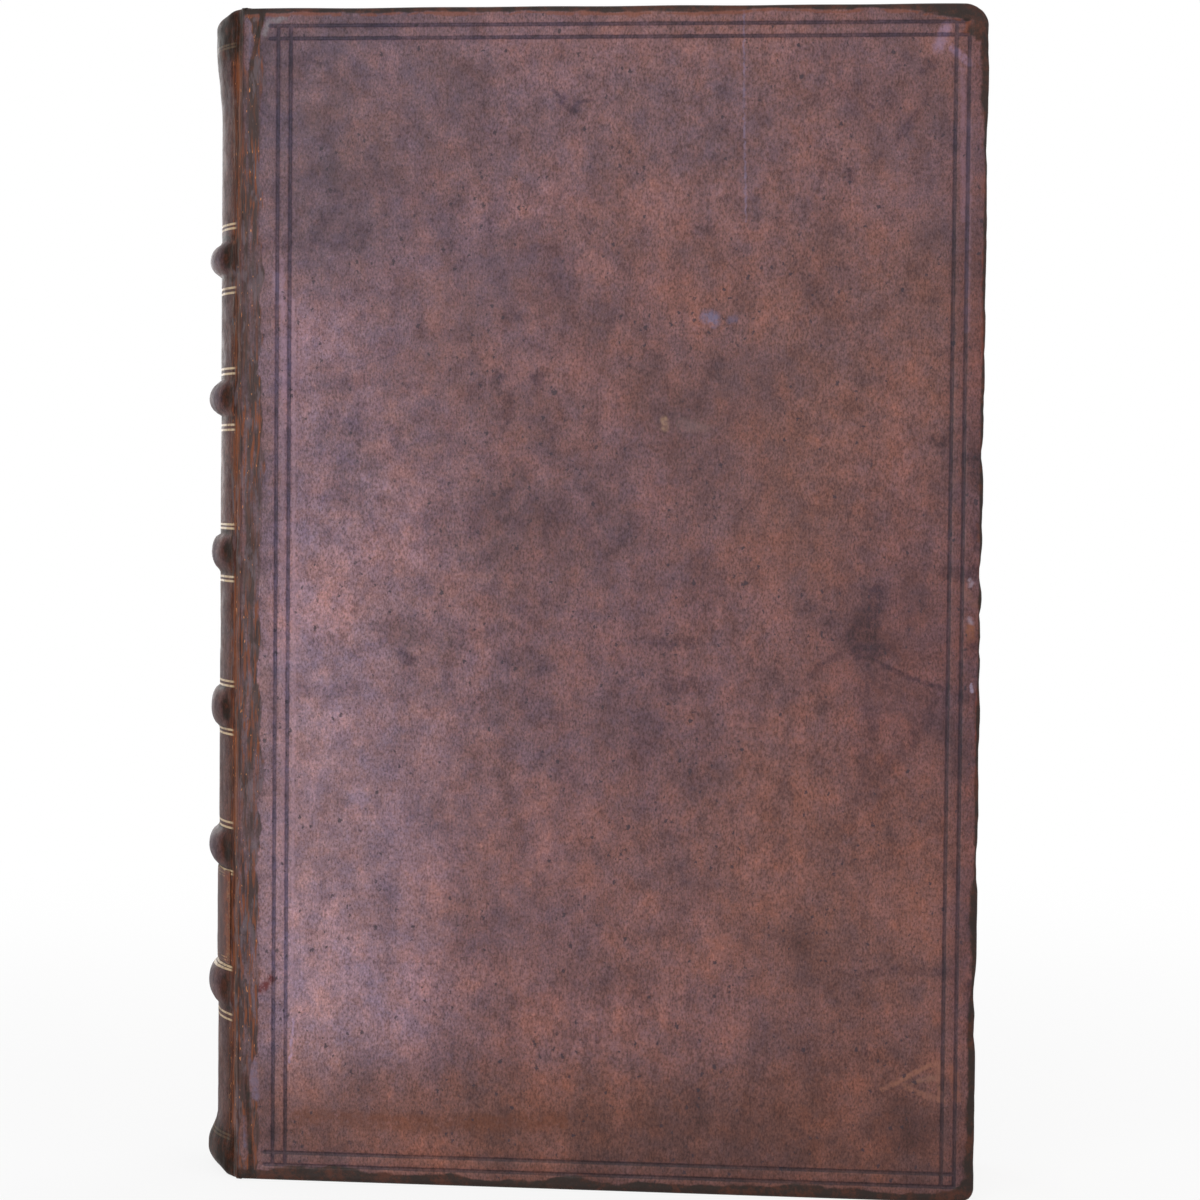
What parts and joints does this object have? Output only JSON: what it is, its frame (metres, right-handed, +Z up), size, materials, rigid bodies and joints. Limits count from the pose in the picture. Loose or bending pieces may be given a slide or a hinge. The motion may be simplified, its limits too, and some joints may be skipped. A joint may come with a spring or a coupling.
{
  "type": "antique leather book",
  "caption": "Upright antique folio book in worn brown calf, with raised bands and a label on the spine, tooled fillet frames, and covers that open at their joints.",
  "frame": {"origin": "middle of the footprint, on the surface that the book stands on", "axes": "+Z up along the spine, +X from the spine towards the fore-edge, -Y out of the front cover"},
  "size_m": [0.238, 0.058, 0.354],
  "materials": {
    "cover_calf": "sprinkled calf, worn and rubbed, soft sheen",
    "spine_calf": "darkened calf with gilt fillets, soft sheen",
    "label_leather": "dark red goatskin, polished, gilt lines",
    "leaf_paper": "laid paper edges, toned and dusty",
    "endpaper": "laid paper, toned, matt",
    "lining_paper": "old paper, glued",
    "pasteboard": "matt pasteboard",
    "hemp_cord": "hemp cord",
    "linen_thread": "linen thread",
    "endband_thread": "wound silk in two faded colours"
  },
  "bodies": {
    "book_block": {"text_block": "leaf_paper", "front_flyleaf": "endpaper", "rear_flyleaf": "endpaper", "spine_leather": "spine_calf", "spine_label": "label_leather", "upper_endband": "endband_thread", "lower_endband": "endband_thread", "upper_kettle_stitch": "linen_thread", "lower_kettle_stitch": "linen_thread", "sewing_cord_1": "hemp_cord", "sewing_cord_2": "hemp_cord", "sewing_cord_3": "hemp_cord", "sewing_cord_4": "hemp_cord", "sewing_cord_5": "hemp_cord", "sewing_cord_6": "hemp_cord", "spine_lining_1": "lining_paper", "spine_lining_2": "lining_paper", "spine_lining_3": "lining_paper", "spine_lining_4": "lining_paper", "spine_lining_5": "lining_paper", "spine_lining_6": "lining_paper", "spine_lining_7": "lining_paper"},
    "front_cover": {"front_cover_leather": "cover_calf", "front_board": "pasteboard", "front_pastedown": "endpaper", "front_slip_1": "hemp_cord", "front_slip_2": "hemp_cord", "front_slip_3": "hemp_cord", "front_slip_4": "hemp_cord", "front_slip_5": "hemp_cord", "front_slip_6": "hemp_cord"},
    "rear_cover": {"rear_cover_leather": "cover_calf", "rear_board": "pasteboard", "rear_pastedown": "endpaper", "rear_slip_1": "hemp_cord", "rear_slip_2": "hemp_cord", "rear_slip_3": "hemp_cord", "rear_slip_4": "hemp_cord", "rear_slip_5": "hemp_cord", "rear_slip_6": "hemp_cord"}
  },
  "joints": [
    {"name": "front_cover_hinge", "type": "hinge", "parent": "book_block", "child": "front_cover", "pos_m": [-0.103, -0.02855, 0.177], "axis": [0, 0, -1], "range_deg": [0, 170]},
    {"name": "rear_cover_hinge", "type": "hinge", "parent": "book_block", "child": "rear_cover", "pos_m": [-0.103, 0.02855, 0.177], "axis": [0, 0, 1], "range_deg": [0, 170]}
  ]
}
